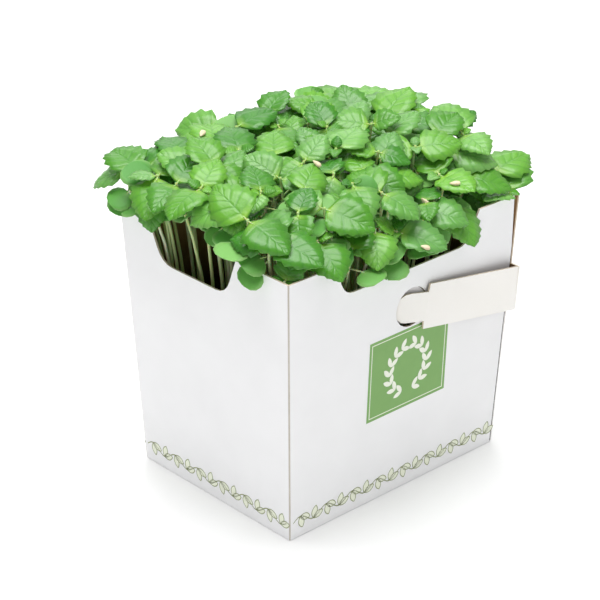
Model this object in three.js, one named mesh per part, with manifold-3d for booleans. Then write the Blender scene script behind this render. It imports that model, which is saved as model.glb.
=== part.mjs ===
// Microgreens tray: a folded carton with a locking strap, a liner, a bed of soil and a crop of seedlings.
// Millimetres, +Z up. The origin is the middle of the carton's underside and the front faces -Y.
import * as THREE from "three";
import { mergeVertices } from "three/addons/utils/BufferGeometryUtils.js";
import Module from "manifold-3d";

const wasm = await Module();
wasm.setup();

// Driving dimensions
const carton = { width: 111, depth: 85, height: 110, flare: 4.8, board: 0.8 };
const frontNotch = { centre: 0, bottom: 63, top: 76, drop: 13.3, corner: 4 };
const sideNotch = { centre: 5.6, bottom: 36.4, top: 49.4, drop: 16, corner: 6 };
const cutReach = 9;
const curveSegments = 4;
const seam = { gap: 0.4, rimGap: 2.2, opensAt: 88 };
const slot = { x: 3.5, z: 80, radius: 8.2, sides: 24 };
const strap = { foldX: 58.6, foldZ: 71.1, length: 49, height: 18.6, slope: 0.15 };
Object.assign(strap, { shoulder: 0.3, tongue: 12, reach: 8.4, roundTo: 1.5 });
const strapStandoff = { fold: 3.6, neck: 0.9, tip: -2.1 };
const liner = { gap: 0.4, wall: 0.8, height: 46 };
const soil = { gap: 0.3, top: 42, bump: 0.9, waveX: 0.19, waveY: 0.23, cells: 4 };
const plug = { width: 4.6, depth: 8, gap: 0.35, rootStep: 1.3 };
const crop = { columns: 9, pairs: 4, columnPitch: 12, pairPitch: 20, jitter: 1.5, stagger: 2.5, seed: 31 };
const canopy = { spreadX: 1.16, spreadY: 1.22, apex: 133, scatter: 3, rise: 3.5, inset: 3 };
const rimDrop = { left: 4, right: 6, front: 26, back: 6, power: 3 };
const stem = { width: 1.3, steps: 2, upright: 0.55, nodeDrop: 8, nodeScatter: 1.5, crown: 0.8, sunk: 0.3 };
// Seedlings tip their leaves towards the light, which came from the front left
const blade = { thickness: 0.6, gap: 0.35, turn: 0.25, roll: 0.25, tip: 0.36, lightTurn: -2.33 };
// A blade that meets another is redrawn, by degrees smaller and freer in its lift and turn
const redraw = { tries: 90, shrink: 0.35, lift: 0.5, turn: 0.9 };

// Blade outlines: along is the share of the length from the stem, half the share of the length to one side
const trueLeaf = {
  stations: [
    { along: 0, half: 0.02 },
    { along: 0.17, half: 0.035 },
    { along: 0.45, half: 0.4 },
    { along: 0.55, half: 0.33 },
    { along: 0.73, half: 0.3 },
    { along: 1, half: 0.02 },
  ],
  length: [17, 23],
  lift: [-0.05, 0.4],
  bend: [0.35, 0.8],
};
const seedLeaf = {
  stations: [
    { along: 0, half: 0.025 },
    { along: 0.38, half: 0.05 },
    { along: 0.62, half: 0.46 },
    { along: 1, half: 0.24 },
  ],
  length: [14, 17],
  lift: [-0.1, 0.35],
  bend: [0.1, 0.4],
};

function solidOf(geometry) {
  const bare = geometry.clone();
  bare.deleteAttribute("normal");
  bare.deleteAttribute("uv");
  const merged = mergeVertices(bare, 1e-4);
  const vertProperties = new Float32Array(merged.attributes.position.array);
  const triVerts = new Uint32Array(merged.index.array);
  return new wasm.Manifold(new wasm.Mesh({ numProp: 3, vertProperties, triVerts }));
}

function meshOf(solid, name, material) {
  const { vertProperties, triVerts } = solid.getMesh();
  const geometry = new THREE.BufferGeometry();
  geometry.setAttribute("position", new THREE.BufferAttribute(vertProperties, 3));
  geometry.setIndex(new THREE.BufferAttribute(triVerts, 1));
  geometry.computeVertexNormals();
  const mesh = new THREE.Mesh(geometry, material);
  mesh.name = name;
  return mesh;
}

function reshape(geometry, move) {
  const position = geometry.attributes.position;
  const point = new THREE.Vector3();
  for (let i = 0; i < position.count; i += 1) {
    point.fromBufferAttribute(position, i);
    move(point);
    position.setXYZ(i, point.x, point.y, point.z);
  }
  return geometry;
}

// How far a wall has leaned out at a height
const leanAt = (z) => (carton.flare * z) / carton.height;

// A block that widens upward with the carton's walls; width and depth are at the carton's base level
function flaredBlock(width, depth, bottom, top, cells = 1) {
  const block = new THREE.BoxGeometry(1, 1, 1, cells, cells, 1);
  reshape(block, (point) => {
    const z = point.z > 0 ? top : bottom;
    point.set(point.x * (width + 2 * leanAt(z)), point.y * (depth + 2 * leanAt(z)), z);
  });
  return block;
}

function boxBetween(low, high) {
  const size = high.map((value, i) => value - low[i]);
  const middle = high.map((value, i) => (value + low[i]) / 2);
  return solidOf(new THREE.BoxGeometry(...size).translate(...middle));
}

// The cutter for a rim notch, standing across the front wall
function notchCutter(notch) {
  const slant = (notch.top - notch.bottom) / 2 / notch.drop;
  const half = notch.bottom / 2;
  const floor = -notch.drop;
  const shape = new THREE.Shape();
  shape.moveTo(-notch.top / 2 - slant * cutReach, cutReach);
  shape.lineTo(-half - slant * notch.corner, floor + notch.corner);
  shape.quadraticCurveTo(-half, floor, -half + notch.corner, floor);
  shape.lineTo(half - notch.corner, floor);
  shape.quadraticCurveTo(half, floor, half + slant * notch.corner, floor + notch.corner);
  shape.lineTo(notch.top / 2 + slant * cutReach, cutReach);
  const through = { depth: 2 * cutReach, bevelEnabled: false, curveSegments };
  const cutter = new THREE.ExtrudeGeometry(shape, through);
  cutter.rotateX(Math.PI / 2);
  return cutter.translate(notch.centre, cutReach, carton.height);
}

// The wedge that parts the front wall from the side wall at the open corner
function seamCutter() {
  const inside = (z) => carton.width / 2 + leanAt(z) - carton.board;
  const low = carton.board;
  const high = carton.height + 1;
  const shape = new THREE.Shape();
  shape.moveTo(inside(low), low);
  shape.lineTo(inside(high), high);
  shape.lineTo(inside(high) - seam.rimGap, high);
  shape.lineTo(inside(seam.opensAt) - seam.gap, seam.opensAt);
  shape.lineTo(inside(low) - seam.gap, low);
  const cutter = new THREE.ExtrudeGeometry(shape, { depth: 2 * cutReach, bevelEnabled: false });
  cutter.rotateX(Math.PI / 2);
  return cutter.translate(0, cutReach - carton.depth / 2 - carton.flare, 0);
}

// The strap and its round tongue, a plate with a height at each station, laid off the wall and bent at its neck
function strapSolid() {
  const half = strap.height / 2;
  const tongueHalf = strap.tongue / 2;
  const neck = strap.length + strap.shoulder;
  const tip = strap.length + strap.reach;
  const stations = [[-half, half], [strap.length, half], [neck, tongueHalf], [tip, tongueHalf]];
  for (let step = 1; step <= curveSegments; step += 1) {
    const angle = (strap.roundTo * step) / curveSegments;
    stations.push([tip + tongueHalf * Math.sin(angle), tongueHalf * Math.cos(angle)]);
  }
  const last = stations.length - 1;
  const band = new THREE.BoxGeometry(1, 1, 1, last, 1, 1);
  const perNeck = (strapStandoff.neck - strapStandoff.fold) / strap.length;
  const perTip = (strapStandoff.tip - strapStandoff.neck) / (tip + tongueHalf - strap.length);
  reshape(band, (corner) => {
    const [along, reach] = stations[Math.round((corner.x + 0.5) * last)];
    const across = 2 * corner.y * reach;
    const past = Math.max(0, along - strap.length);
    const standoff = strapStandoff.fold + perNeck * (along - past) + perTip * past;
    const x = strap.foldX - along * Math.cos(strap.slope) + across * Math.sin(strap.slope);
    const z = strap.foldZ + along * Math.sin(strap.slope) + across * Math.cos(strap.slope);
    corner.set(x, -carton.depth / 2 - leanAt(z) - standoff + (corner.z - 0.5) * carton.board, z);
  });
  const within = flaredBlock(carton.width, carton.depth + 4 * cutReach, 0, carton.height);
  return solidOf(band).intersect(solidOf(within));
}

// The short leg of the strap, the side wall carried on past the corner
function strapLeg() {
  const out = 2 * (strapStandoff.fold + carton.board);
  const walls = solidOf(flaredBlock(carton.width, carton.depth + out, 0, carton.height));
  const hollow = flaredBlock(carton.width - 2 * carton.board, carton.depth + 4 * cutReach, 0, carton.height);
  const half = strap.height / 2;
  const low = [0, -carton.depth, strap.foldZ - half];
  const high = [carton.width, -carton.depth / 2, strap.foldZ + half];
  return walls.subtract(solidOf(hollow)).intersect(boxBetween(low, high));
}

function cartonSolid() {
  const inside = [carton.width - 2 * carton.board, carton.depth - 2 * carton.board];
  const outer = solidOf(flaredBlock(carton.width, carton.depth, 0, carton.height));
  let box = outer.subtract(solidOf(flaredBlock(...inside, carton.board, carton.height + 1)));
  const frontY = -carton.depth / 2 - carton.flare;
  const sideX = carton.width / 2 + carton.flare;
  box = box.subtract(solidOf(notchCutter(frontNotch).translate(0, frontY, 0)));
  box = box.subtract(solidOf(notchCutter(frontNotch).translate(0, -frontY, 0)));
  box = box.subtract(solidOf(notchCutter(sideNotch).rotateZ(Math.PI / 2).translate(sideX, 0, 0)));
  box = box.subtract(solidOf(notchCutter(sideNotch).rotateZ(Math.PI / 2).translate(-sideX, 0, 0)));
  const hole = new THREE.CylinderGeometry(slot.radius, slot.radius, 2 * cutReach, slot.sides);
  box = box.subtract(solidOf(hole.translate(slot.x, frontY, slot.z)));
  box = box.subtract(solidOf(seamCutter()));
  return box.add(strapLeg()).add(strapSolid());
}

function linerSolid() {
  const inset = 2 * (carton.board + liner.gap);
  const bottom = carton.board + liner.gap;
  const outer = flaredBlock(carton.width - inset, carton.depth - inset, bottom, liner.height);
  const hollowInset = inset + 2 * liner.wall;
  const hollowSize = [carton.width - hollowInset, carton.depth - hollowInset];
  const hollow = flaredBlock(...hollowSize, bottom + liner.wall, liner.height + 1);
  return solidOf(outer).subtract(solidOf(hollow));
}

// Seeded draws between 0 and 1
function drawStream(seed) {
  let state = seed;
  return () => {
    state = (state + 0x6d2b79f5) | 0;
    let mixed = Math.imul(state ^ (state >>> 15), state | 1);
    mixed ^= mixed + Math.imul(mixed ^ (mixed >>> 7), mixed | 61);
    return ((mixed ^ (mixed >>> 14)) >>> 0) / 4294967296;
  };
}
const draw = drawStream(crop.seed);
const between = (low, high) => low + (high - low) * draw();
const scattered = (reach) => between(-reach, reach);

// Root plugs in staggered rows over the soil, two seedlings to a plug
function plugSites() {
  const sites = [];
  for (let column = 0; column < crop.columns; column += 1) {
    for (let pair = 0; pair < crop.pairs; pair += 1) {
      const stagger = column % 2 ? crop.stagger : -crop.stagger;
      const x = (column - (crop.columns - 1) / 2) * crop.columnPitch + scattered(crop.jitter);
      const y = (pair - (crop.pairs - 1) / 2) * crop.pairPitch + stagger + scattered(crop.jitter);
      sites.push({ x, y });
    }
  }
  return sites;
}

function soilSolid(sites) {
  const inset = 2 * (carton.board + liner.gap + liner.wall + soil.gap);
  const bottom = carton.board + liner.gap + liner.wall + soil.gap;
  const block = flaredBlock(carton.width - inset, carton.depth - inset, bottom, soil.top, soil.cells);
  reshape(block, (point) => {
    if (point.z > bottom) {
      point.z += soil.bump * Math.sin(point.x * soil.waveX) * Math.cos(point.y * soil.waveY);
    }
  });
  let bed = solidOf(block);
  const reach = plug.width / 2 + plug.gap;
  for (const { x, y } of sites) {
    const low = [x - reach, y - reach, soil.top - plug.depth - plug.gap];
    bed = bed.subtract(boxBetween(low, [x + reach, y + reach, soil.top + plug.depth]));
  }
  return bed;
}

// A seedling's stem leaves its root upright and leans out to its apex, lower and further out near the rim
function growPlant(site, side) {
  const within = (value, size) => {
    const reach = size / 2 - canopy.inset;
    return THREE.MathUtils.clamp(value, -reach, reach);
  };
  const rim = 2 * carton.flare;
  const x = within(site.x * canopy.spreadX + scattered(canopy.scatter), carton.width + rim);
  const spreadY = (site.y + (side * crop.pairPitch) / 4) * canopy.spreadY;
  const y = within(spreadY + scattered(canopy.scatter), carton.depth + rim);
  const acrossX = (2 * x) / (carton.width + rim);
  const acrossY = (2 * y) / (carton.depth + rim);
  const dropX = (x < 0 ? rimDrop.left : rimDrop.right) * Math.abs(acrossX) ** rimDrop.power;
  const dropY = (y < 0 ? rimDrop.front : rimDrop.back) * Math.abs(acrossY) ** rimDrop.power;
  const z = Math.max(carton.height, canopy.apex - dropX - dropY) + scattered(canopy.rise);
  const root = new THREE.Vector3(site.x, site.y + side * plug.rootStep, soil.top - plug.depth / 2);
  const apex = new THREE.Vector3(x, y, z);
  const upright = new THREE.Vector3(root.x, root.y, THREE.MathUtils.lerp(root.z, apex.z, stem.upright));
  const curve = new THREE.QuadraticBezierCurve3(root, upright, apex);
  const turn = between(0, Math.PI);
  const stalk = new THREE.BoxGeometry(stem.width, stem.width, 1, 1, 1, stem.steps).rotateZ(turn);
  reshape(stalk, (point) => {
    const centre = curve.getPoint(point.z + 0.5);
    point.set(centre.x + point.x, centre.y + point.y, centre.z);
  });
  const down = curve.getPoint(1 - 1 / stem.steps).sub(apex).normalize();
  return {
    stalk: solidOf(stalk),
    leafPoint: apex.clone().addScaledVector(down, stem.crown),
    nodePoint: apex.clone().addScaledVector(down, stem.nodeDrop + scattered(stem.nodeScatter)),
    turn,
    blades: [],
  };
}

// A thin blade from its root on the stem, arched along its length, then turned, lifted and set in place
function bladeSolid(kind, length, bend, lift, roll, turn, point) {
  const last = kind.stations.length - 1;
  const plate = new THREE.BoxGeometry(1, 1, 1, last, 1, 1);
  reshape(plate, (corner) => {
    const station = kind.stations[Math.round((corner.x + 0.5) * last)];
    const angle = bend * station.along;
    const radius = length / bend + corner.z * blade.thickness;
    const y = 2 * corner.y * station.half * length;
    corner.set(stem.sunk + radius * Math.sin(angle), y, radius * Math.cos(angle) - length / bend);
  });
  plate.rotateX(roll).rotateY(-lift).rotateZ(turn - blade.lightTurn).rotateY(blade.tip);
  plate.rotateZ(blade.lightTurn).translate(point.x, point.y, point.z);
  return solidOf(plate);
}

const boxesMeet = (a, b) => [0, 1, 2].every(
  (i) => a.min[i] - blade.gap < b.max[i] && b.min[i] - blade.gap < a.max[i],
);

function isClear(solid, others) {
  const box = solid.boundingBox();
  return others.every(
    (other) => !boxesMeet(box, other.box) || solid.minGap(other.solid, blade.gap) >= blade.gap,
  );
}

// Two opposite blades at a point of the stem, each redrawn until it clears all that stands already
function placePair(plant, kind, point, turn, standing) {
  const others = standing.filter((other) => other.plant !== plant || (other.kind && other.kind !== kind));
  for (const side of [0, Math.PI]) {
    for (let attempt = 0; attempt < redraw.tries; attempt += 1) {
      const freedom = attempt / redraw.tries;
      const length = between(...kind.length) * (1 - redraw.shrink * freedom);
      const lift = between(...kind.lift) + scattered(redraw.lift * freedom);
      const aim = turn + side + scattered(blade.turn + redraw.turn * freedom);
      const solid = bladeSolid(kind, length, between(...kind.bend), lift, scattered(blade.roll), aim, point);
      if (isClear(solid, others)) {
        plant.blades.push(solid);
        standing.push({ plant, kind, solid, box: solid.boundingBox() });
        break;
      }
    }
  }
}

const board = new THREE.MeshStandardMaterial({ color: 0xf2f1ef, roughness: 0.75, metalness: 0 });
const plastic = new THREE.MeshStandardMaterial({ color: 0x2a2c2a, roughness: 0.6, metalness: 0 });
const earth = new THREE.MeshStandardMaterial({ color: 0x3a2a1e, roughness: 0.95, metalness: 0 });
const greens = new THREE.MeshStandardMaterial({ color: 0x58b04a, roughness: 0.6, metalness: 0 });

const sites = plugSites();
const box = cartonSolid();
const clumps = sites.map((site) => [growPlant(site, -1), growPlant(site, 1)]);
const plants = clumps.flat();
const standing = plants.map((plant) => ({ plant, solid: plant.stalk, box: plant.stalk.boundingBox() }));
standing.push({ solid: box, box: box.boundingBox() });
for (const plant of plants) {
  placePair(plant, trueLeaf, plant.leafPoint, plant.turn, standing);
}
for (const plant of plants) {
  placePair(plant, seedLeaf, plant.nodePoint, plant.turn + Math.PI / 2, standing);
}

const group = new THREE.Group();
group.name = "microgreens_tray";
group.add(meshOf(box, "carton", board));
group.add(meshOf(linerSolid(), "grow_tray", plastic));
group.add(meshOf(soilSolid(sites), "soil", earth));
clumps.forEach((pair, index) => {
  const site = sites[index];
  const low = [site.x - plug.width / 2, site.y - plug.width / 2, soil.top - plug.depth];
  const core = boxBetween(low, [site.x + plug.width / 2, site.y + plug.width / 2, soil.top]);
  const solids = [core, ...pair.flatMap((plant) => [plant.stalk, ...plant.blades])];
  const name = `sprouts_${String(index + 1).padStart(2, "0")}`;
  group.add(meshOf(wasm.Manifold.union(solids), name, greens.clone()));
});

export default group;
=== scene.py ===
import math
import random

import bmesh
import bpy
from mathutils import Matrix, Vector
from mathutils.bvhtree import BVHTree


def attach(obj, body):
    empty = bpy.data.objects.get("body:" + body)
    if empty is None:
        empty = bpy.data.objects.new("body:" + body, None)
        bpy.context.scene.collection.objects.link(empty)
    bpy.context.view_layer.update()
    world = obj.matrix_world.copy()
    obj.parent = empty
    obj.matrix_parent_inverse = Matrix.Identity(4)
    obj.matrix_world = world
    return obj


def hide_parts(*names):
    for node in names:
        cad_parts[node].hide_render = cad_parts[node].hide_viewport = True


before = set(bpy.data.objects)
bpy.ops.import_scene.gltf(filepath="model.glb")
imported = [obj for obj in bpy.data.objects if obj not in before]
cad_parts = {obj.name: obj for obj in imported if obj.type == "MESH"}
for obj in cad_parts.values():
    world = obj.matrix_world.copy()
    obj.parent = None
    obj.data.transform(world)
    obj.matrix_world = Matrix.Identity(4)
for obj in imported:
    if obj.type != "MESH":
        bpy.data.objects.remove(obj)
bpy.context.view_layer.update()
mm = 0.001
rng = random.Random(11)
fullTurn = 6.28  # the range of a drawn turn

# carton walls as folded: base size, height, lean of each wall by the rim, board thickness
carton = {"width": 111 * mm, "depth": 85 * mm, "height": 110 * mm, "flare": 4.8 * mm, "board": 0.8 * mm}


def linear(hexColour):
    parts = [int(hexColour[i:i + 2], 16) / 255 for i in (1, 3, 5)]
    return [c / 12.92 if c <= 0.04045 else ((c + 0.055) / 1.055) ** 2.4 for c in parts] + [1.0]


# adds a node with its settings; an input is a value or the socket that feeds it
def addNode(material, kind, settings=None, inputs=None, out=0):
    tree = material.node_tree
    node = tree.nodes.new("ShaderNode" + kind)
    for name, value in (settings or {}).items():
        setattr(node, name, value)
    for name, value in (inputs or {}).items():
        if isinstance(value, bpy.types.NodeSocket):
            tree.links.new(value, node.inputs[name])
        else:
            node.inputs[name].default_value = value
    return node.outputs[out]


# a principled surface: fixed values on its own sockets
def newMaterial(name, fixed):
    material = bpy.data.materials.new(name)
    material.use_nodes = True
    shader = material.node_tree.nodes["Principled BSDF"]
    for socket, value in fixed.items():
        shader.inputs[socket].default_value = value
    return material


def feed(material, **sources):
    shader = material.node_tree.nodes["Principled BSDF"]
    for name, source in sources.items():
        material.node_tree.links.new(source, shader.inputs[name.replace("_", " ")])


rgba = {"data_type": "RGBA"}  # a Mix node's colour sockets are 0, 6 and 7, and its result is 2


# clay-coated folding board, offset varnished: nearly white, a faint mottle and a low soft sheen
def makeCoatedBoard(name, light, dark):
    m = newMaterial(name, {"Roughness": 0.5, "IOR": 1.45})
    place = addNode(m, "TexCoord", out="Object")
    mottle = addNode(m, "TexNoise", {}, {"Vector": place, "Scale": 1 / (16 * mm), "Detail": 3})
    grain = addNode(m, "TexNoise", {}, {"Vector": place, "Scale": 1 / (0.6 * mm), "Detail": 2})
    colour = addNode(m, "Mix", rgba, {0: mottle, 6: linear(light), 7: linear(dark)}, 2)
    bump = addNode(m, "Bump", {}, {"Strength": 0.08, "Distance": 0.05 * mm, "Height": grain})
    feed(m, Base_Color=colour, Normal=bump)
    return m


# unbleached kraft liner, calendered: warm brown, long fibres along the wall, dull, with painted shade
# darkening it lower down inside the carton
def makeKraft():
    m = newMaterial("kraft_liner_calendered", {"Roughness": 0.86, "IOR": 1.45})
    place = addNode(m, "TexCoord", out="Object")
    drawn = addNode(m, "Mapping", {}, {"Vector": place, "Scale": (1, 1, 0.25)})
    fibres = addNode(m, "TexNoise", {}, {"Vector": drawn, "Scale": 1 / (0.8 * mm), "Detail": 4})
    cloud = addNode(m, "TexNoise", {}, {"Vector": place, "Scale": 1 / (9 * mm), "Detail": 3})
    shade = addNode(m, "Mix", rgba, {0: cloud, 6: linear("#B98A60"), 7: linear("#A37349")}, 2)
    unshadedKraft = addNode(m, "Mix", rgba, {0: fibres, 6: shade, 7: linear("#C79E75")}, 2)
    z = addNode(m, "SeparateXYZ", {}, {0: place}, "Z")
    rise = addNode(m, "MapRange", {}, {"Value": z, "From Min": 66 * mm, "From Max": 108 * mm})
    colour = addNode(m, "Mix", rgba, {0: rise, 6: linear("#3F2A1A"), 7: unshadedKraft}, 2)  # painted shade, dark lower down inside the carton
    bump = addNode(m, "Bump", {}, {"Strength": 0.25, "Distance": 0.08 * mm, "Height": fibres})
    feed(m, Base_Color=colour, Normal=bump)
    return m


# the coating cracked along a pressed fold: greyer, a little kraft showing
def makeCrease():
    m = newMaterial("coated_board_creased", {"Roughness": 0.7, "IOR": 1.45})
    place = addNode(m, "TexCoord", out="Object")
    drawn = addNode(m, "Mapping", {}, {"Vector": place, "Scale": (1, 1, 0.3)})
    cracks = addNode(m, "TexNoise", {}, {"Vector": drawn, "Scale": 1 / (1.5 * mm), "Detail": 4})
    colour = addNode(m, "Mix", rgba, {0: cracks, 6: linear("#D2CBC2"), 7: linear("#A99F92")}, 2)
    feed(m, Base_Color=colour)
    return m


# litho ink lying in the coating: even colour with a slight mottle
def makeInk(name, dark, light):
    m = newMaterial(name, {"Roughness": 0.48, "IOR": 1.48})
    place = addNode(m, "TexCoord", out="Object")
    mottle = addNode(m, "TexNoise", {}, {"Vector": place, "Scale": 1 / (5 * mm), "Detail": 5})
    feed(m, Base_Color=addNode(m, "Mix", rgba, {0: mottle, 6: linear(dark), 7: linear(light)}, 2))
    return m


# living true leaf: quilted skin with fine hairs, painted shade darkening the side veins and the midrib in
# their grooves, yellow where it joins the stem
def makeTrueLeaf(veins):
    fixed = {"Roughness": 0.33, "IOR": 1.5, "Subsurface Weight": 0.2, "Subsurface Scale": 0.8 * mm}
    fixed.update({"Subsurface Radius": (0.7, 1.0, 0.2), "Sheen Weight": 0.05, "Sheen Roughness": 0.5})
    m = newMaterial("leaf_skin_quilted", fixed)
    place = addNode(m, "TexCoord", out="Object")
    tone = addNode(m, "Attribute", {"attribute_name": "tone"}, out="Fac")
    uv = addNode(m, "UVMap", {"uv_map": "leafUv"})
    across = addNode(m, "SeparateXYZ", {}, {0: uv}, "X")
    along = across.node.outputs["Y"]
    off = addNode(m, "Math", {"operation": "SUBTRACT"}, {0: across, 1: 0.5})
    out = addNode(m, "Math", {"operation": "ABSOLUTE"}, {0: off})  # 0 on the midrib, 0.5 at the edge
    turns = addNode(m, "Math", {"operation": "MULTIPLY"}, {0: along, 1: veins * 2 * math.pi})
    wave = addNode(m, "Math", {"operation": "COSINE"}, {0: turns})  # 1 on a side vein
    rise = addNode(m, "Math", {"operation": "MULTIPLY_ADD"}, {0: wave, 1: 0.5, 2: 0.5})
    vein = addNode(m, "Math", {"operation": "POWER"}, {0: rise, 1: 12})
    rib = addNode(m, "Math", {"operation": "MULTIPLY_ADD", "use_clamp": True}, {0: out, 1: -18, 2: 1})
    blotch = addNode(m, "TexNoise", {}, {"Vector": place, "Scale": 1 / (5 * mm), "Detail": 3})
    cellSize = {"Vector": place, "Scale": 1 / (1.6 * mm)}
    cells = addNode(m, "TexVoronoi", {"feature": "DISTANCE_TO_EDGE"}, cellSize)
    flesh = addNode(m, "Mix", rgba, {0: tone, 6: linear("#26740C"), 7: linear("#78B83A")}, 2)
    spread = addNode(m, "Math", {"operation": "MULTIPLY"}, {0: tone, 1: 7.3})
    second = addNode(m, "Math", {"operation": "FRACT"}, {0: spread})  # a second draw for each leaf
    grey = addNode(m, "MapRange", {}, {"Value": second, "From Min": 0.55, "To Max": 0.6})
    hue = addNode(m, "Mix", rgba, {0: grey, 6: flesh, 7: linear("#8CBC78")}, 2)
    patch = addNode(m, "Math", {"operation": "MULTIPLY"}, {0: blotch, 1: 0.55})
    mottled = addNode(m, "Mix", rgba, {0: patch, 6: hue, 7: linear("#55A226")}, 2)
    # painted shade in the grooves of the side veins
    veinShade = addNode(m, "Math", {"operation": "MULTIPLY"}, {0: vein, 1: 0.3})
    veinShaded = addNode(m, "Mix", rgba, {0: veinShade, 6: mottled, 7: linear("#2E7A24")}, 2)
    # painted shade in the groove of the midrib
    sunk = addNode(m, "Math", {"operation": "MULTIPLY"}, {0: rib, 1: 0.35})
    ribShaded = addNode(m, "Mix", rgba, {0: sunk, 6: veinShaded, 7: linear("#3B8420")}, 2)
    fade = addNode(m, "Math", {"operation": "MULTIPLY_ADD", "use_clamp": True}, {0: along, 1: -3.2, 2: 0.65})
    inner = addNode(m, "Math", {"operation": "MULTIPLY_ADD", "use_clamp": True}, {0: out, 1: -2.6, 2: 1})
    near = addNode(m, "Math", {"operation": "MULTIPLY"}, {0: fade, 1: inner})
    colour = addNode(m, "Mix", rgba, {0: near, 6: ribShaded, 7: linear("#B2D84A")}, 2)
    quilt = addNode(m, "Math", {"operation": "POWER"}, {0: rise, 1: 3})
    groove = addNode(m, "Math", {"operation": "MAXIMUM"}, {0: quilt, 1: rib})
    net = addNode(m, "Math", {"operation": "MULTIPLY"}, {0: cells, 1: 0.5})
    height = addNode(m, "Math", {"operation": "SUBTRACT"}, {0: net, 1: groove})
    bump = addNode(m, "Bump", {}, {"Strength": 0.4, "Distance": 0.3 * mm, "Height": height})
    feed(m, Base_Color=colour, Normal=bump)
    return m


# the underside of a true leaf: paler and duller under its down, the midrib standing out
def makeLeafUnderside():
    fixed = {"Roughness": 0.6, "IOR": 1.42, "Subsurface Weight": 0.2, "Subsurface Scale": 0.8 * mm}
    m = newMaterial("leaf_underside_downy", fixed)
    place = addNode(m, "TexCoord", out="Object")
    tone = addNode(m, "Attribute", {"attribute_name": "tone"}, out="Fac")
    uv = addNode(m, "UVMap", {"uv_map": "leafUv"})
    across = addNode(m, "SeparateXYZ", {}, {0: uv}, "X")
    off = addNode(m, "Math", {"operation": "SUBTRACT"}, {0: across, 1: 0.5})
    out = addNode(m, "Math", {"operation": "ABSOLUTE"}, {0: off})
    rib = addNode(m, "MapRange", {}, {"Value": out, "From Max": 0.06, "To Min": 0.7, "To Max": 0.0})
    down = addNode(m, "TexNoise", {}, {"Vector": place, "Scale": 1 / (0.8 * mm), "Detail": 3})
    flesh = addNode(m, "Mix", rgba, {0: tone, 6: linear("#5F9E44"), 7: linear("#9CCB78")}, 2)
    part = addNode(m, "Math", {"operation": "MULTIPLY"}, {0: down, 1: 0.5})
    mottled = addNode(m, "Mix", rgba, {0: part, 6: flesh, 7: linear("#8FC070")}, 2)
    colour = addNode(m, "Mix", rgba, {0: rib, 6: mottled, 7: linear("#C8E0A2")}, 2)
    bump = addNode(m, "Bump", {}, {"Strength": 0.3, "Distance": 0.15 * mm, "Height": down})
    feed(m, Base_Color=colour, Normal=bump)
    return m


# seed leaf: smooth, thick and bloomed, so duller than the true leaves, with a paler vein foot and a painted
# highlight along its edge
def makeSeedLeaf():
    fixed = {"Roughness": 0.5, "IOR": 1.42, "Subsurface Weight": 0.12, "Subsurface Scale": 1.0 * mm}
    fixed["Subsurface Radius"] = (0.6, 1.0, 0.3)
    m = newMaterial("seed_leaf_bloomed", fixed)
    place = addNode(m, "TexCoord", out="Object")
    tone = addNode(m, "Attribute", {"attribute_name": "tone"}, out="Fac")
    blotch = addNode(m, "TexNoise", {}, {"Vector": place, "Scale": 1 / (4 * mm), "Detail": 3})
    fine = addNode(m, "TexNoise", {}, {"Vector": place, "Scale": 1 / (0.7 * mm), "Detail": 2})
    shade = addNode(m, "Mix", rgba, {0: tone, 6: linear("#43902E"), 7: linear("#82BC60")}, 2)
    patch = addNode(m, "Math", {"operation": "MULTIPLY"}, {0: blotch, 1: 0.5})
    mottled = addNode(m, "Mix", rgba, {0: patch, 6: shade, 7: linear("#67A84F")}, 2)
    uv = addNode(m, "UVMap", {"uv_map": "leafUv"})
    across = addNode(m, "SeparateXYZ", {}, {0: uv}, "X")
    along = across.node.outputs["Y"]
    off = addNode(m, "Math", {"operation": "SUBTRACT"}, {0: across, 1: 0.5})
    out = addNode(m, "Math", {"operation": "ABSOLUTE"}, {0: off})
    # painted highlight along the edge
    rim = addNode(m, "MapRange", {}, {"Value": out, "From Min": 0.36, "From Max": 0.5, "To Max": 0.45})
    edgeHighlighted = addNode(m, "Mix", rgba, {0: rim, 6: mottled, 7: linear("#A5CF86")}, 2)
    foot = addNode(m, "MapRange", {}, {"Value": along, "From Max": 0.4, "To Min": 0.6, "To Max": 0.0})
    inner = addNode(m, "MapRange", {}, {"Value": out, "From Max": 0.2, "To Min": 1.0, "To Max": 0.0})
    vein = addNode(m, "Math", {"operation": "MULTIPLY"}, {0: foot, 1: inner})
    colour = addNode(m, "Mix", rgba, {0: vein, 6: edgeHighlighted, 7: linear("#B9D88F")}, 2)
    bump = addNode(m, "Bump", {}, {"Strength": 0.15, "Distance": 0.1 * mm, "Height": fine})
    feed(m, Base_Color=colour, Normal=bump)
    return m


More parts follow.
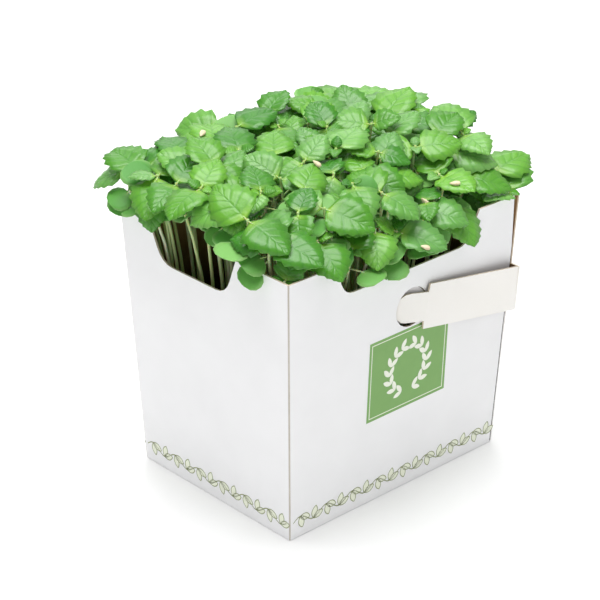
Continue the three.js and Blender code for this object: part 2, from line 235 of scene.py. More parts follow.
# drawn-up seedling stem: watery, pale below and greener towards the leaves; the pale lower part is lightened
# towards white, painted light on stems standing in the leaves' shade
def makeStem():
    fixed = {"Roughness": 0.4, "IOR": 1.38, "Subsurface Weight": 0.3, "Subsurface Scale": 1.0 * mm}
    m = newMaterial("seedling_stem_watery", fixed)
    place = addNode(m, "TexCoord", out="Object")
    z = addNode(m, "SeparateXYZ", {}, {0: place}, "Z")
    rise = addNode(m, "MapRange", {}, {"Value": z, "From Min": 95 * mm, "From Max": 135 * mm})
    drawn = addNode(m, "Mapping", {}, {"Vector": place, "Scale": (1, 1, 0.12)})
    streak = addNode(m, "TexNoise", {}, {"Vector": drawn, "Scale": 1 / (1.2 * mm), "Detail": 3})
    tone = addNode(m, "Attribute", {"attribute_name": "tone"}, out="Fac")
    paleWithPaintedLight = addNode(m, "Mix", rgba, {0: tone, 6: linear("#F6F8E2"), 7: linear("#BFD28E")}, 2)  # stem by stem, pale and lightened towards white as painted light
    base = addNode(m, "Mix", rgba, {0: rise, 6: paleWithPaintedLight, 7: linear("#B2D67A")}, 2)
    part = addNode(m, "Math", {"operation": "MULTIPLY"}, {0: streak, 1: 0.3})
    feed(m, Base_Color=addNode(m, "Mix", rgba, {0: part, 6: base, 7: linear("#B4CF84")}, 2))
    return m


# papery seed husk, dried: cream with brown flecks
def makeHusk():
    m = newMaterial("seed_husk_dried", {"Roughness": 0.7, "IOR": 1.45})
    place = addNode(m, "TexCoord", out="Object")
    fleck = addNode(m, "TexNoise", {}, {"Vector": place, "Scale": 1 / (0.9 * mm), "Detail": 3})
    feed(m, Base_Color=addNode(m, "Mix", rgba, {0: fleck, 6: linear("#FFF7DC"), 7: linear("#D2B987")}, 2))
    return m


# damp peat, crumbled: almost black with brown fibres
def makePeat():
    m = newMaterial("peat_crumbled", {"Roughness": 0.95, "IOR": 1.4})
    place = addNode(m, "TexCoord", out="Object")
    crumb = addNode(m, "TexNoise", {}, {"Vector": place, "Scale": 1 / (2.5 * mm), "Detail": 6})
    colour = addNode(m, "Mix", rgba, {0: crumb, 6: linear("#1E140D"), 7: linear("#4A3524")}, 2)
    bump = addNode(m, "Bump", {}, {"Strength": 0.9, "Distance": 1.2 * mm, "Height": crumb})
    feed(m, Base_Color=colour, Normal=bump)
    return m


# polystyrene, vacuum formed: black with a soft drag texture
def makeFormedTray():
    m = newMaterial("polystyrene_vacuum_formed", {"Roughness": 0.45, "IOR": 1.55})
    place = addNode(m, "TexCoord", out="Object")
    drawn = addNode(m, "Mapping", {}, {"Vector": place, "Scale": (1, 1, 0.4)})
    drag = addNode(m, "TexNoise", {}, {"Vector": drawn, "Scale": 1 / (3 * mm), "Detail": 3})
    colour = addNode(m, "Mix", rgba, {0: drag, 6: linear("#1F211F"), 7: linear("#2E312E")}, 2)
    bump = addNode(m, "Bump", {}, {"Strength": 0.2, "Distance": 0.1 * mm, "Height": drag})
    feed(m, Base_Color=colour, Normal=bump)
    return m


def addPiece(name, bm, materials, replaced=()):
    mesh = bpy.data.meshes.new(name)
    bm.to_mesh(mesh)
    bm.free()
    for material in materials:
        mesh.materials.append(material)
    piece = bpy.data.objects.new(name, mesh)
    bpy.context.scene.collection.objects.link(piece)
    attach(piece, "root")
    if replaced:
        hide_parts(*replaced)
    return piece


def leanAt(z):
    return carton["flare"] * z / carton["height"]


coatedBoard = makeCoatedBoard("coated_board_varnished", "#F7F7F8", "#F0F0F1")
strapBoard = makeCoatedBoard("coated_board_strap_warmer", "#FBF9F5", "#F7F4EE")  # a warmer white on the strap and its tongue, the same board as the walls
boardCore = makeCoatedBoard("board_core_knife_cut", "#DDD0BD", "#C3B39B")  # bare pulp where the knife went
kraft = makeKraft()
crease = makeCrease()

# carton: the folded sheet with its folds rounded, white outside, kraft inside, pale pulp on the cut edges
cartonFinish = {"foldRadius": 0.45 * mm, "foldSegments": 3, "longFold": 30 * mm, "cutEdgeRatio": 0.42 * mm,
                "strapAbove": 60 * mm, "offWall": 0.05 * mm, "weld": 0.002 * mm,
                "flat": math.radians(4), "sharp": math.radians(40)}
boardSkin = {"outside": 0, "inside": 1, "crease": 2, "strap": 3, "cut": 4}


def facesOut(face):
    n, c = face.normal, face.calc_center_median()
    if abs(n.z) > 0.7:
        return n.z < 0 and c.z < carton["board"]
    axis = 0 if abs(n.x) > abs(n.y) else 1
    return n[axis] * c[axis] > 0


def buildCarton():
    bm = bmesh.new()
    bm.from_mesh(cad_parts["carton"].data)
    bmesh.ops.remove_doubles(bm, verts=bm.verts, dist=cartonFinish["weld"])
    bmesh.ops.dissolve_limit(bm, angle_limit=cartonFinish["flat"], verts=bm.verts, edges=bm.edges)
    for face in bm.faces:
        isCutEdge = face.calc_area() / face.calc_perimeter() < cartonFinish["cutEdgeRatio"]
        face.material_index = boardSkin["cut" if isCutEdge else "outside" if facesOut(face) else "inside"]
    folds = [e for e in bm.edges if len(e.link_faces) == 2 and e.calc_length() > cartonFinish["longFold"]
             and all(f.material_index == boardSkin["outside"] for f in e.link_faces)
             and e.calc_face_angle() > cartonFinish["sharp"]]
    made = bmesh.ops.bevel(
        bm, geom=folds, offset=cartonFinish["foldRadius"], offset_type="OFFSET", affect="EDGES",
        segments=cartonFinish["foldSegments"], profile=0.5, material=-1, clamp_overlap=True,
    )
    for face in made["faces"]:
        face.smooth = True
        isUpright = abs(face.normal.z) < 0.3 and min(abs(face.normal.x), abs(face.normal.y)) > 0.15
        face.material_index = boardSkin["crease" if isUpright else "outside"]
    for face in bm.faces:  # the strap and its tongue stand off the front wall
        middle = face.calc_center_median()
        proud = -carton["depth"] / 2 - leanAt(middle.z) - middle.y
        isFront = face.normal.y < -0.5 and middle.z > cartonFinish["strapAbove"]
        isOutside = face.material_index == boardSkin["outside"]
        if isOutside and isFront and abs(proud) > cartonFinish["offWall"]:
            face.material_index = boardSkin["strap"]
    skins = [coatedBoard, kraft, crease, strapBoard, boardCore]
    return addPiece("folded_carton", bm, skins, ["carton"])


buildCarton()
print("carton folded")

# the half-cut disc behind the tongue, pushed in about its right edge
slotFlap = {"x": 3.5 * mm, "z": 80 * mm, "radius": 7.9 * mm, "turn": math.radians(12), "sink": 0.25 * mm,
            "sides": 28}


def buildSlotFlap():
    bm = bmesh.new()
    bmesh.ops.create_circle(bm, segments=slotFlap["sides"], radius=slotFlap["radius"], cap_ends=True)
    bmesh.ops.solidify(bm, geom=bm.faces[:], thickness=carton["board"])
    bmesh.ops.recalc_face_normals(bm, faces=bm.faces)
    outer = max(v.co.z for v in bm.verts)
    for v in bm.verts:
        across = slotFlap["radius"] - v.co.x  # from the hinge on the right
        inward = slotFlap["sink"] + across * math.sin(slotFlap["turn"]) + (outer - v.co.z)
        z = slotFlap["z"] + v.co.y
        x = slotFlap["x"] + slotFlap["radius"] - across * math.cos(slotFlap["turn"])
        v.co = Vector((x, -carton["depth"] / 2 - leanAt(z) + inward, z))
    bmesh.ops.recalc_face_normals(bm, faces=bm.faces)
    for face in bm.faces:
        face.material_index = 0 if face.normal.y < -0.5 else 1
    return addPiece("slot_flap", bm, [coatedBoard, kraft])


buildSlotFlap()

# printed ornament: a plain panel on the front and a running vine round the foot of the walls
panelPrint = {"left": -17.7 * mm, "right": 24.5 * mm, "low": 36.8 * mm, "high": 71.2 * mm, "margin": 1.7 * mm,
              "line": 0.5 * mm, "film": 0.03 * mm, "ring": 10 * mm, "leaves": 7, "leafLength": 4.6 * mm,
              "leafWidth": 2.1 * mm, "gap": 16, "sweep": 140, "flare": 0.6}  # gap and sweep in degrees
vinePrint = {"middle": 7.4 * mm, "swing": 1.8 * mm, "period": 14 * mm, "stroke": 0.5 * mm, "film": 0.03 * mm,
             "leafLength": 5.6 * mm, "leafWidth": 3.2 * mm, "outline": 0.36 * mm, "inset": 1.5 * mm,
             "steps": 12, "leans": (math.radians(75), math.radians(20))}
printedLeaf = {"sides": 14, "round": 0.3, "weld": 0.01 * mm}
panelInk = makeInk("panel_ink_litho", "#76A657", "#7FAE60")
keylineInk = makeInk("keyline_ink_litho", "#EEF3E2", "#F4F7EA")
vineInk = makeInk("vine_ink_litho", "#8A9463", "#949D6E")
vineTint = makeInk("vine_tint_litho", "#EDF2DA", "#F2F5E4")


# a point on a wall: u along it, v up, film off its outer face; walls count round from the front
def onWall(wall, u, v, film):
    out = (carton["depth"] if wall % 2 == 0 else carton["width"]) / 2 + leanAt(v) + film
    x, y = [(u, -out), (out, u), (-u, out), (-out, -u)][wall]
    return Vector((x, y, v))


# a small pointed leaf drawn flat on a wall, outlined in the first ink and filled with the second
def printLeaf(bm, wall, u, z, turn, length, width, outline, film):
    leaf = bmesh.ops.create_circle(bm, segments=printedLeaf["sides"], radius=0.5, cap_ends=True)["verts"]
    for v in leaf:
        along = min(max(v.co.x + 0.5, 0), 1)
        a, b = along * length, v.co.y * width * math.sin(math.pi * along) ** printedLeaf["round"]
        across, up = a * math.cos(turn) - b * math.sin(turn), a * math.sin(turn) + b * math.cos(turn)
        v.co = onWall(wall, u + across, z + up, film)
    bmesh.ops.remove_doubles(bm, verts=leaf, dist=printedLeaf["weld"])
    faces = list({f for v in leaf if v.is_valid for f in v.link_faces})
    for face in faces:
        face.normal_update()
    if outline:
        bmesh.ops.inset_individual(bm, faces=faces, thickness=outline, use_even_offset=True)
        for face in faces:
            face.material_index = 1
    return faces


def turnOut(bm):
    for face in bm.faces:
        face.normal_update()
        if not facesOut(face):
            face.normal_flip()


def buildPanel():
    bm = bmesh.new()
    bmesh.ops.create_grid(bm, x_segments=1, y_segments=1, size=0.5)
    for v in bm.verts:
        u = panelPrint["left"] if v.co.x < 0 else panelPrint["right"]
        z = panelPrint["low"] if v.co.y < 0 else panelPrint["high"]
        v.co = onWall(0, u, z, panelPrint["film"])
    inner = bm.faces[:]
    bm.normal_update()
    bmesh.ops.inset_individual(bm, faces=inner, thickness=panelPrint["margin"])
    before = set(bm.faces)
    bmesh.ops.inset_individual(bm, faces=inner, thickness=panelPrint["line"])
    for face in set(bm.faces) - before:
        face.material_index = 1
    middleU = (panelPrint["left"] + panelPrint["right"]) / 2
    middleZ = (panelPrint["low"] + panelPrint["high"]) / 2
    for side in (-1, 1):
        for k in range(panelPrint["leaves"]):
            swept = panelPrint["gap"] + panelPrint["sweep"] * k / (panelPrint["leaves"] - 1)
            angle = -math.pi / 2 + side * math.radians(swept)
            u = middleU + panelPrint["ring"] * math.cos(angle)
            z = middleZ + panelPrint["ring"] * math.sin(angle)
            for flare in (-panelPrint["flare"], panelPrint["flare"]):
                turn = angle + side * math.pi / 2 + flare
                leaf = printLeaf(bm, 0, u, z, turn, panelPrint["leafLength"], panelPrint["leafWidth"], 0,
                                 2 * panelPrint["film"])
                for face in leaf:
                    face.material_index = 1
    turnOut(bm)
    return addPiece("front_panel_print", bm, [panelInk, keylineInk])


def buildVine():
    bm = bmesh.new()
    for wall in range(4):
        half = (carton["width"] if wall % 2 == 0 else carton["depth"]) / 2 - vinePrint["inset"]
        turns = round(2 * half / vinePrint["period"])
        step = 2 * half / turns

        def vineHeight(u):
            return vinePrint["middle"] + vinePrint["swing"] * math.sin(2 * math.pi * (u + half) / step)

        steps = turns * vinePrint["steps"]
        line = bmesh.ops.create_grid(bm, x_segments=steps, y_segments=1, size=0.5)["verts"]
        for v in line:
            u = 2 * half * v.co.x
            v.co = onWall(wall, u, vineHeight(u) + v.co.y * vinePrint["stroke"], vinePrint["film"])
        for k in range(2 * turns):
            up = 1 if k % 2 else -1
            root = -half + (k + 0.5) * step / 2
            for lean in vinePrint["leans"]:
                printLeaf(bm, wall, root, vineHeight(root), lean * up, vinePrint["leafLength"],
                          vinePrint["leafWidth"], vinePrint["outline"], vinePrint["film"])
    turnOut(bm)
    return addPiece("vine_print", bm, [vineInk, vineTint])


buildPanel()
buildVine()
print("prints laid")

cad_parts["grow_tray"].data.materials.clear()
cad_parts["grow_tray"].data.materials.append(makeFormedTray())
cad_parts["soil"].data.materials.clear()
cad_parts["soil"].data.materials.append(makePeat())

# sprouts: each plate of the solids is read back as an arc, and a finer blade is grown on it
plate = {"thickness": 0.6 * mm, "tolerance": 0.003 * mm, "sunk": 0.3 * mm, "kinds": {10: "true", 6: "seed"},
         "rimGrowth": 0.7, "sameJoint": 0.6 * mm, "nodeBelow": 12 * mm, "weld": 0.001 * mm, "sole": 0.1 * mm}
looks = {
    "true": {"across": 4, "rows": 14, "stalk": 0.03, "width": 0.43, "droop": (-0.22, 0.12), "skin": 0,
             "size": (0.7, 0.95), "sweep": 0.26, "tooth": 0.085, "quilt": 0.2 * mm, "bulge": 0.04, "veins": 6,
             "stations": [0.17, 0.45, 0.55, 0.73, 1]},
    "seed": {"across": 6, "rows": 6, "stalk": 0.38, "width": 0.46, "droop": (-0.15, 0.2), "skin": 1,
             "size": (0.85, 1), "notch": 0.05, "notchRise": 6, "notchSlope": 12, "round": 0.8,
             "stations": [0.38, 0.62, 1]},
    "young": {"across": 2, "rows": 5, "stalk": 0.05, "width": 0.4, "droop": (-0.4, -0.1), "skin": 0,
              "size": (1, 1), "sweep": 0.1, "tooth": 0.0, "quilt": 0.0, "bulge": 0.0},
}
leafOutline = {"widest": 0.36, "base": 0.45, "tip": 0.8, "narrowest": 0.35 * mm}
edgeWave = {"height": 0.02, "turns": 9, "shift": 2}  # along a leaf's edge, out of step on its two sides
leafTwist = 0.12
light = {"turn": -2.33, "tip": 0.36}  # the leaves tip towards the light
leafSkin = {"thickness": 0.26 * mm, "rimShare": 0.51, "underside": 3}
stemLook = {"foot": 0.75 * mm, "top": 0.5 * mm, "sides": 6, "rootStep": 1.3 * mm, "upright": 0.55,
            "soil": 38 * mm, "crown": 0.8 * mm, "spreadX": 1.16, "spreadY": 1.22, "skin": 2,
            "shares": (0, 0.2, 0.4, 0.58, 0.74)}
stalkLook = {"radius": 0.36 * mm, "taper": 0.3, "sides": 5, "rings": 3, "overlap": 0.08}
youngLook = {"length": (3.5 * mm, 6.5 * mm), "lift": (0.3, 0.8), "bend": (0.5, 1.0), "share": 0.55,
             "stray": 0.3}


# the outlines of a node's plates, each a list of edges from one root corner round the tip to the other
def plateChains(bm):
    rims = [e for e in bm.edges if abs(e.calc_length() - plate["thickness"]) < plate["tolerance"]]
    owner = {v: e for e in rims for v in e.verts}
    near = {e: [] for e in rims}
    for e in rims:
        for v in (v for face in e.link_faces for v in face.verts):
            other = owner.get(v)
            if other and other is not e and other not in near[e]:
                near[e].append(other)
    chains, seen = [], set()
    for start in [e for e in rims if len(near[e]) == 1]:
        if start in seen:
            continue
        chain, step = [], start
        while step:
            chain.append(step)
            seen.add(step)
            step = next((e for e in near[step] if e not in seen), None)
        chains.append(chain)
    return chains


# the arc of a plate: its root on the stem, its axes there, its length and how far it bends
def readArc(chain):
    count = len(chain) // 2
    kind = plate["kinds"][len(chain)]
    stations = looks[kind]["stations"]
    middles = [sum((v.co for v in e.verts), Vector()) / 2 for e in chain]
    spine = [(middles[i] + middles[-1 - i]) / 2 for i in range(count)]
    chord = spine[-1] - spine[0]
    upFirst = (chain[0].verts[0].co - chain[0].verts[1].co).normalized()
    if upFirst.dot(chord) > 0:  # a blade bends away from its upper face
        upFirst.negate()
    upLast = (chain[count - 1].verts[0].co - chain[count - 1].verts[1].co).normalized()
    if upLast.dot(upFirst) < 0:
        upLast.negate()
    side = (middles[0] - middles[-1]).normalized()
    ahead = side.cross(upFirst).normalized()
    if ahead.dot(chord) < 0:
        ahead.negate()
        side.negate()
    swing = math.atan2(upLast.dot(ahead), upLast.dot(upFirst))
    bend = swing / (stations[-1] - stations[0])
    radius = chord.length / (2 * math.sin(swing / 2))
    back = bend * stations[0]
    up = upFirst * math.cos(back) - ahead * math.sin(back)
    along = upFirst * math.sin(back) + ahead * math.cos(back)
    root = spine[0] - along * radius * math.sin(back) - up * (radius * math.cos(back) - radius)
    return {"kind": kind, "joint": root - along * plate["sunk"], "root": root, "ahead": along, "up": up,
            "side": side, "bend": bend, "length": radius * bend, **drawn(kind)}


# what differs from blade to blade
def drawn(kind):
    look = looks[kind]
    return {"tone": rng.random(), "twist": rng.uniform(-leafTwist, leafTwist),
            "droop": rng.uniform(*look["droop"]), "phase": rng.uniform(0, fullTurn),
            "size": rng.uniform(*look["size"])}


# an arc of the same kind, set on a joint
def newArc(kind, joint, turn, lift, roll, bend, length):
    axes = Matrix.Rotation(light["turn"], 3, "Z") @ Matrix.Rotation(light["tip"], 3, "Y")
    axes = axes @ Matrix.Rotation(turn - light["turn"], 3, "Z")
    axes = axes @ Matrix.Rotation(-lift, 3, "Y") @ Matrix.Rotation(roll, 3, "X")
    return {"kind": kind, "joint": joint, "root": joint + axes.col[0] * plate["sunk"], "ahead": axes.col[0],
            "side": axes.col[1], "up": axes.col[2], "bend": bend, "length": length, **drawn(kind)}


def arcPoint(arc, along, side, lift):
    angle = arc["bend"] * along
    radius = arc["length"] / arc["bend"]
    ahead = (radius + lift) * math.sin(angle)
    up = (radius + lift) * math.cos(angle) - radius
    return arc["root"] + arc["ahead"] * ahead + arc["up"] * up + arc["side"] * side


# half width of a true leaf: broad near the stem, drawn out to a point
def leafHalf(share):
    share = min(max(share, 0.0), 1.0)
    widest = leafOutline["widest"]
    return (share / widest) ** leafOutline["base"] * ((1 - share) / (1 - widest)) ** leafOutline["tip"]


# a blade on its arc; the rows of a true leaf follow its side veins, so teeth and quilting fall on them
def growBlade(bm, arc):
    look = looks[arc["kind"]]
    rows, length = look["rows"], arc["length"] * arc["size"]
    made = bmesh.ops.create_grid(bm, x_segments=look["across"], y_segments=rows, size=0.5, calc_uvs=True)
    verts = made["verts"]
    for v in verts:
        v[bm.verts.layers.float["tone"]] = arc["tone"]
        w, t = 2 * v.co.x, v.co.y + 0.5
        row = round(t * rows)
        swell = math.sin(math.pi * t)
        if arc["kind"] == "seed":
            dent = look["notch"] * t ** look["notchRise"] * math.exp(-look["notchSlope"] * w * w)
            share = 0.5 - 0.5 * math.cos(math.pi * t) - dent
            half = look["width"] * swell ** look["round"]
            lift = 0.0
        else:
            share = t + look["sweep"] * abs(w) * swell
            half = look["width"] * leafHalf(t + look["sweep"] * swell)
            if abs(w) > 0.99 and 0 < row < rows:
                half *= 1 + (look["tooth"] if row % 2 == 0 else -look["tooth"])
            between = math.sin(math.pi * abs(w)) * swell  # highest half way from midrib to edge
            lift = (look["bulge"] * look["width"] * length + look["quilt"] * (row % 2)) * between
            phase = edgeWave["turns"] * t + arc["phase"] + (edgeWave["shift"] if w > 0 else 0)
            lift += edgeWave["height"] * length * w * w * math.sin(phase)
        half = max(half, leafOutline["narrowest"] / length)
        lift += (arc["twist"] * w - arc["droop"] * w * w) * half * length
        along = look["stalk"] + (1 - look["stalk"]) * share
        v.co = arcPoint(arc, along * arc["size"], w * half * length, lift)
    faces = list({f for v in verts for f in v.link_faces})
    for face in faces:
        face.material_index = look["skin"]
        face.smooth = True
        face.normal_update()
    upward = arcPoint(arc, 0.5, 0, mm) - arcPoint(arc, 0.5, 0, 0)
    if sum((f.normal for f in faces), Vector()).dot(upward) < 0:
        bmesh.ops.reverse_faces(bm, faces=faces)


# a round stalk swept through points, made by itself and then joined on; returns it as an obstacle
def sweepStalk(bm, points, radii, sides):
    stalk = newSproutMesh()
    tone = rng.random()
    ring = bmesh.ops.create_circle(stalk, segments=sides, radius=1.0)["verts"]
    edges = stalk.edges[:]
    heading = (points[1] - points[0]).normalized()
    turn = Vector((0, 0, 1)).rotation_difference(heading)
    for v in ring:
        v.co = points[0] + turn @ (v.co * radii[0])
    bmesh.ops.edgeloop_fill(stalk, edges=edges)
    for i in range(1, len(points)):
        made = bmesh.ops.extrude_edge_only(stalk, edges=edges)["geom"]
        ring = {g for g in made if isinstance(g, bmesh.types.BMVert)}
        edges = [g for g in made if isinstance(g, bmesh.types.BMEdge) and all(v in ring for v in g.verts)]
        ahead = (points[min(i + 1, len(points) - 1)] - points[i - 1]).normalized()
        turn = heading.rotation_difference(ahead)
        for v in ring:
            v.co = points[i] + turn @ (v.co - points[i - 1]) * (radii[i] / radii[i - 1])
        heading = ahead
    bmesh.ops.edgeloop_fill(stalk, edges=edges)
    bmesh.ops.recalc_face_normals(stalk, faces=stalk.faces)
    for face in stalk.faces:
        face.material_index = stemLook["skin"]
        face.smooth = True
    for v in stalk.verts:
        v[stalk.verts.layers.float["tone"]] = tone
    shape = obstacleOf(stalk)
    mesh = bpy.data.meshes.new("stalk")
    stalk.to_mesh(mesh)
    stalk.free()
    bm.from_mesh(mesh)
    bpy.data.meshes.remove(mesh)
    return shape


def stemPath(root, joints):
    tip = joints[-1] + (joints[-1] - root).normalized() * stemLook["crown"]
    control = Vector((root.x, root.y, root.z + (tip.z - root.z) * stemLook["upright"]))
    path = [root * (1 - t) ** 2 + control * (2 * t * (1 - t)) + tip * t ** 2 for t in stemLook["shares"]]
    return path + joints + [tip]


def growStem(bm, path):
    last = len(path) - 1
    radii = [stemLook["foot"] + (stemLook["top"] - stemLook["foot"]) * i / last for i in range(last + 1)]
    return sweepStalk(bm, path, radii, stemLook["sides"])


def growStalk(bm, arc):
    shares = [k / stalkLook["rings"] for k in range(stalkLook["rings"] + 1)]
    reach = (looks[arc["kind"]]["stalk"] + stalkLook["overlap"]) * arc["size"]
    points = [arcPoint(arc, reach * share, 0, 0) for share in shares]
    radii = [stalkLook["radius"] * (1 - stalkLook["taper"] * share) for share in shares]
    return sweepStalk(bm, points, radii, stalkLook["sides"])


# the small pair still folded at the crown
def youngPair(joint, turn):
    pair = []
    for side in (0, math.pi):
        bend, length = rng.uniform(*youngLook["bend"]), rng.uniform(*youngLook["length"])
        aim = turn + side + rng.uniform(-youngLook["stray"], youngLook["stray"])
        pair.append(newArc("young", joint, aim, rng.uniform(*youngLook["lift"]), 0, bend, length))
    return pair


def newSproutMesh():
    bm = bmesh.new()
    bm.loops.layers.uv.new("leafUv")
    bm.verts.layers.float.new("tone")
    return bm


# gives the blades their thickness and underside; the rims stay flat, so the faces shade evenly to the edge
def thicken(bm):
    made = bmesh.ops.solidify(bm, geom=bm.faces[:], thickness=leafSkin["thickness"])["geom"]
    for face in [g for g in made if isinstance(g, bmesh.types.BMFace) and g.material_index == 0]:
        face.material_index = leafSkin["underside"]
    for face in bm.faces:
        if face.calc_area() < leafSkin["rimShare"] * leafSkin["thickness"] * face.calc_perimeter():
            face.smooth = False


# a shape as later ones have to clear it
def obstacleOf(bm):
    centre = sum((v.co for v in bm.verts), Vector()) / len(bm.verts)
    reach = max((v.co - centre).length for v in bm.verts)
    return {"tree": BVHTree.FromBMesh(bm), "centre": centre, "reach": reach}


# a blade with its thickness, as an obstacle
def bladeShape(arc):
    trial = newSproutMesh()
    growBlade(trial, arc)
    thicken(trial)
    shape = obstacleOf(trial)
    trial.free()
    return shape


# a stem along a path or the stalk of an arc, as an obstacle
def stalkShape(grow, line):
    trial = newSproutMesh()
    shape = grow(trial, line)
    trial.free()
    return shape


# a clump's blades gathered into plants: true leaves at one joint, the seed leaves that belong below them
def gatherPlants(arcs):
    joints = []
    for arc in arcs:
        same = [j for j in joints if j["kind"] == arc["kind"]
                and (j["at"] - arc["joint"]).length < plate["sameJoint"]]
        if same:
            same[0]["arcs"].append(arc)
        else:
            joints.append({"kind": arc["kind"], "at": arc["joint"], "arcs": [arc]})
    plants = [{"top": j, "node": None} for j in joints if j["kind"] == "true"]
    for j in [j for j in joints if j["kind"] == "seed"]:
        free = [p for p in plants if p["top"] and not p["node"]
                and (p["top"]["at"] - j["at"]).length < plate["nodeBelow"]]
        if free:
            min(free, key=lambda p: (p["top"]["at"] - j["at"]).length)["node"] = j
        else:
            plants.append({"top": None, "node": j})
    return plants


sproutSkins = [makeTrueLeaf(looks["true"]["veins"]), makeSeedLeaf(), makeStem(), makeLeafUnderside()]
# what later leaves have to clear: the walls and blades, and apart from them the stems and leaf stalks
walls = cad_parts["carton"].data
wallTree = BVHTree.FromPolygons([v.co for v in walls.vertices], [f.vertices for f in walls.polygons])
obstacles = [{"tree": wallTree, "centre": Vector((0, 0, carton["height"] / 2)), "reach": carton["width"]}]
stalks, crowns = [], []


def growClump(name):
    solid = bmesh.new()
    solid.from_mesh(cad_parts[name].data)
    bmesh.ops.remove_doubles(solid, verts=solid.verts, dist=plate["weld"])
    arcs = [readArc(chain) for chain in plateChains(solid) if len(chain) in plate["kinds"]]
    foot = min(v.co.z for v in solid.verts)
    soles = [v.co for v in solid.verts if v.co.z < foot + plate["sole"]]
    site = sum(soles, Vector()) / len(soles)
    solid.free()
    bm = newSproutMesh()
    for arc in arcs:
        tip = arcPoint(arc, 1, 0, 0)
        if abs(tip.x) > carton["width"] / 2 or abs(tip.y) > carton["depth"] / 2:  # it has room over the rim
            arc["size"] += (1 - arc["size"]) * plate["rimGrowth"]
        growBlade(bm, arc)
        obstacles.append(bladeShape(arc))
    plants = gatherPlants(arcs)
    for plant in plants:
        if plant["top"]:
            crowns.append(plant["top"]["at"])
        if plant["top"] and rng.random() < youngLook["share"]:
            ahead = plant["top"]["arcs"][0]["ahead"]
            for arc in youngPair(plant["top"]["at"], math.atan2(ahead.y, ahead.x) + math.pi / 2):
                growBlade(bm, arc)
                obstacles.append(bladeShape(arc))
    thicken(bm)
    for plant in plants:
        joints = [j["at"] for j in (plant["node"], plant["top"]) if j]
        behind = joints[-1].y / stemLook["spreadY"] > site.y
        step = stemLook["rootStep"] if behind else -stemLook["rootStep"]
        path = stemPath(Vector((site.x, site.y + step, stemLook["soil"])), joints)
        stalks.append(growStem(bm, path))
    for arc in arcs:
        stalks.append(growStalk(bm, arc))
    addPiece(name.replace("sprouts", "sprout_pair"), bm, sproutSkins, [name])
    return len(arcs)


bladeCounts = [growClump(name) for name in sorted(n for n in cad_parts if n.startswith("sprouts_"))]
print("sprouts grown:", len(bladeCounts), "clumps,", sum(bladeCounts), "blades")

# later seedlings, most of them lower in the crop, which close it as sown seed does
# its tone scales the later leaves' tone down, a painted shade under the canopy
undergrowth = {"count": 240, "places": 10, "tries": 8, "halfX": 57 * mm, "halfY": 44 * mm,
               "drop": (-1 * mm, 15 * mm), "near": 24 * mm, "margin": 30 * mm, "neighbours": 4,
               "node": 6.5 * mm, "aim": 0.4, "roll": 0.3, "lift": (-0.3, 0.4), "bend": (0.4, 1.1),
               "true": (14 * mm, 20 * mm), "seed": (12 * mm, 15 * mm), "tone": 0.6, "stray": 4 * mm,
               "tall": [(-4, 46, 136), (-11, 46, 135), (4, 44, 136), (-60, 45, 122), (-61, 32, 119)]}  # in mm


# what stands close enough to a joint to be met by a blade there
def standingNear(shapes, joint):
    return [s for s in shapes if (s["centre"] - joint).length < s["reach"] + undergrowth["near"]]


def isClear(shape, others):
    for other in others:
        if (other["centre"] - shape["centre"]).length < other["reach"] + shape["reach"]:
            if other["tree"].overlap(shape["tree"]):
                return False
    return True


def tryPair(kind, joint, turn):
    placed = []
    blades, stems = standingNear(obstacles, joint), standingNear(stalks, joint)
    for side in (0, math.pi):
        for _ in range(undergrowth["tries"]):
            aim = turn + side + rng.uniform(-undergrowth["aim"], undergrowth["aim"])
            lift, roll = rng.uniform(*undergrowth["lift"]), rng.uniform(-1, 1) * undergrowth["roll"]
            bend, length = rng.uniform(*undergrowth["bend"]), rng.uniform(*undergrowth[kind])
            arc = newArc(kind, joint, aim, lift, roll, bend, length)
            arc["tone"] *= undergrowth["tone"]  # painted shade under the canopy, on top of the deeper green that leaves grown in shade have
            shape = bladeShape(arc)
            if not isClear(shape, blades + stems):
                continue
            stalk = stalkShape(growStalk, arc)
            if isClear(stalk, blades):
                placed.append(arc)
                obstacles.append(shape)
                stalks.append(stalk)
                break
    return placed


# a place for a late seedling's top, lower than its neighbours unless the rim in view is near
def lowTop():
    x = rng.uniform(-1, 1) * undergrowth["halfX"]
    y = rng.uniform(-1, 1) * undergrowth["halfY"]
    near = sorted(crowns, key=lambda c: (c.x - x) ** 2 + (c.y - y) ** 2)[:undergrowth["neighbours"]]
    inward = min(1, min(x + undergrowth["halfX"], y + undergrowth["halfY"]) / undergrowth["margin"])
    return Vector((x, y, sum(c.z for c in near) / len(near) - rng.uniform(*undergrowth["drop"]) * inward))


# a place for one that reached the light
def tallTop(plant):
    stray = Vector((rng.uniform(-1, 1), rng.uniform(-1, 0.5), rng.uniform(-0.5, 0.5))) * undergrowth["stray"]
    return Vector(undergrowth["tall"][plant]) * mm + stray


def growUndergrowth():
    bm = newSproutMesh()
    arcs, paths = [], []
    for plant in range(undergrowth["count"]):
        for _ in range(undergrowth["places"]):
            top = tallTop(plant) if plant < len(undergrowth["tall"]) else lowTop()
            root = Vector((top.x / stemLook["spreadX"], top.y / stemLook["spreadY"], stemLook["soil"]))
            node = top - (top - root).normalized() * undergrowth["node"]
            path = stemPath(root, [node, top])
            stem = stalkShape(growStem, path)
            if not isClear(stem, obstacles):
                continue
            turn = rng.uniform(0, math.pi)
            placed = tryPair("true", top, turn)
            if not placed:
                continue
            arcs += placed + tryPair("seed", node, turn + math.pi / 2)
            paths.append(path)
            stalks.append(stem)
            break
    for arc in arcs:
        growBlade(bm, arc)
    thicken(bm)
    for path in paths:
        growStem(bm, path)
    for arc in arcs:
        growStalk(bm, arc)
    addPiece("undergrowth", bm, sproutSkins)
    print("undergrowth:", len(paths), "plants,", len(arcs), "blades")


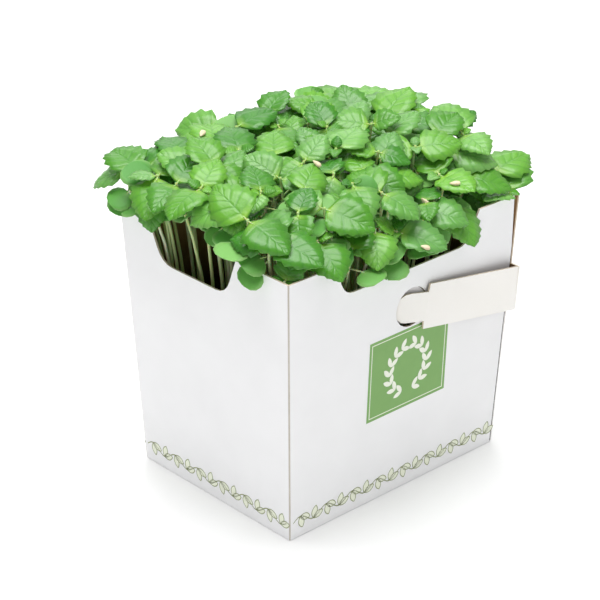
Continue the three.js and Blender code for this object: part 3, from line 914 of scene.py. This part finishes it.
growUndergrowth()

# studio: pale floor, soft light from above and the left, the photograph's view
studio = {"camera": (-0.5288, -0.5604, 0.4479), "aim": (0.6084, 0.6585, -0.4429), "lens": 132, "sensor": 36,
          "floorHalf": 3, "air": 0.4, "lampAim": (0, 0, 0.07)}
# each lamp's place, its power in watts and its size in metres
lamps = {"key": ((-1.15, -0.75, 0.45), 1.6, 0.6), "front": ((0.3, -1.3, 0.9), 1.0, 0.8),
         "top": ((0.0, 0.1, 1.6), 29.0, 1.2), "back": ((0.8, 1.1, 0.8), 4.0, 1.0)}

# husks: split seed coats left on a few leaves, laid on the leaf met at each place in the 600 px picture
husk = {"places": [(202, 135), (316, 165), (426, 201), (412, 262), (455, 185)], "picture": 600,
        "length": 3.0 * mm, "width": 2.3 * mm, "taper": 0.6, "split": 0.45, "seam": 0.05, "sunk": 0.4 * mm,
        "sides": 10, "rings": 7}


# the first leaf met along a line of sight
def leafMet(eye, ray):
    hits = [o["tree"].ray_cast(eye, ray) for o in obstacles[1:]]
    return min((h for h in hits if h[0]), key=lambda h: h[3], default=None)


def layHusks():
    bm = bmesh.new()
    eye, turn = Vector(studio["camera"]), Vector(studio["aim"]).to_track_quat("-Z", "Y")
    for across, down in husk["places"]:
        x, y = across / husk["picture"] - 0.5, 0.5 - down / husk["picture"]
        ray = turn @ Vector((x * studio["sensor"], y * studio["sensor"], -studio["lens"]))
        nearest = min((o["centre"] - eye for o in obstacles[1:]), key=ray.angle)
        at, normal = (leafMet(eye, ray) or leafMet(eye, nearest))[:2]
        if normal.dot(ray) > 0:
            normal.negate()
        along = normal.orthogonal()
        along.rotate(Matrix.Rotation(rng.uniform(0, fullTurn), 3, normal))
        side = normal.cross(along)
        middle = at + normal * (husk["width"] / 2 - husk["sunk"])
        coat = bmesh.ops.create_uvsphere(bm, u_segments=husk["sides"], v_segments=husk["rings"], radius=0.5)
        for v in coat["verts"]:
            slim = husk["width"] * (1 - husk["taper"] * (v.co.z + 0.5))
            if abs(v.co.x) < husk["seam"] and v.co.y > 0:  # the split along its upper side
                slim *= 1 - husk["split"]
            v.co = middle + along * v.co.z * husk["length"] + side * v.co.x * slim + normal * v.co.y * slim
    bmesh.ops.recalc_face_normals(bm, faces=bm.faces)
    for face in bm.faces:
        face.smooth = True
    addPiece("seed_husks", bm, [makeHusk()])


layHusks()
print("husks laid:", len(husk["places"]))


def addStudio():
    bm = bmesh.new()
    bmesh.ops.create_grid(bm, x_segments=1, y_segments=1, size=studio["floorHalf"])
    mesh = bpy.data.meshes.new("floor")
    bm.to_mesh(mesh)
    bm.free()
    paint = newMaterial("painted_floor_rolled", {"Roughness": 0.8})
    place = addNode(paint, "TexCoord", out="Object")
    roll = addNode(paint, "TexNoise", {}, {"Vector": place, "Scale": 1 / (300 * mm)})
    colour = addNode(paint, "Mix", rgba, {0: roll, 6: linear("#FAFAFA"), 7: linear("#F7F7F7")}, 2)
    feed(paint, Base_Color=colour)
    mesh.materials.append(paint)
    floor = bpy.data.objects.new("floor", mesh)
    bpy.context.scene.collection.objects.link(floor)
    world = bpy.data.worlds.new("studio_air")
    world.use_nodes = True
    world.node_tree.nodes["Background"].inputs["Color"].default_value = (1, 1, 1, 1)
    world.node_tree.nodes["Background"].inputs["Strength"].default_value = studio["air"]
    bpy.context.scene.world = world
    for name, (stand, power, size) in lamps.items():
        glow = bpy.data.lights.new(name, "AREA")
        glow.energy = power
        glow.size = size
        lamp = bpy.data.objects.new(name, glow)
        lamp.location = stand
        lamp.rotation_euler = (Vector(studio["lampAim"]) - Vector(stand)).to_track_quat("-Z", "Y").to_euler()
        bpy.context.scene.collection.objects.link(lamp)
    view = bpy.data.cameras.new("photo_view")
    view.lens = studio["lens"]
    view.sensor_width = studio["sensor"]
    camera = bpy.data.objects.new("photo_view", view)
    camera.location = studio["camera"]
    camera.rotation_euler = Vector(studio["aim"]).to_track_quat("-Z", "Y").to_euler()
    bpy.context.scene.collection.objects.link(camera)
    bpy.context.scene.camera = camera
    bpy.context.scene.view_settings.view_transform = "Standard"


addStudio()
print("studio set")
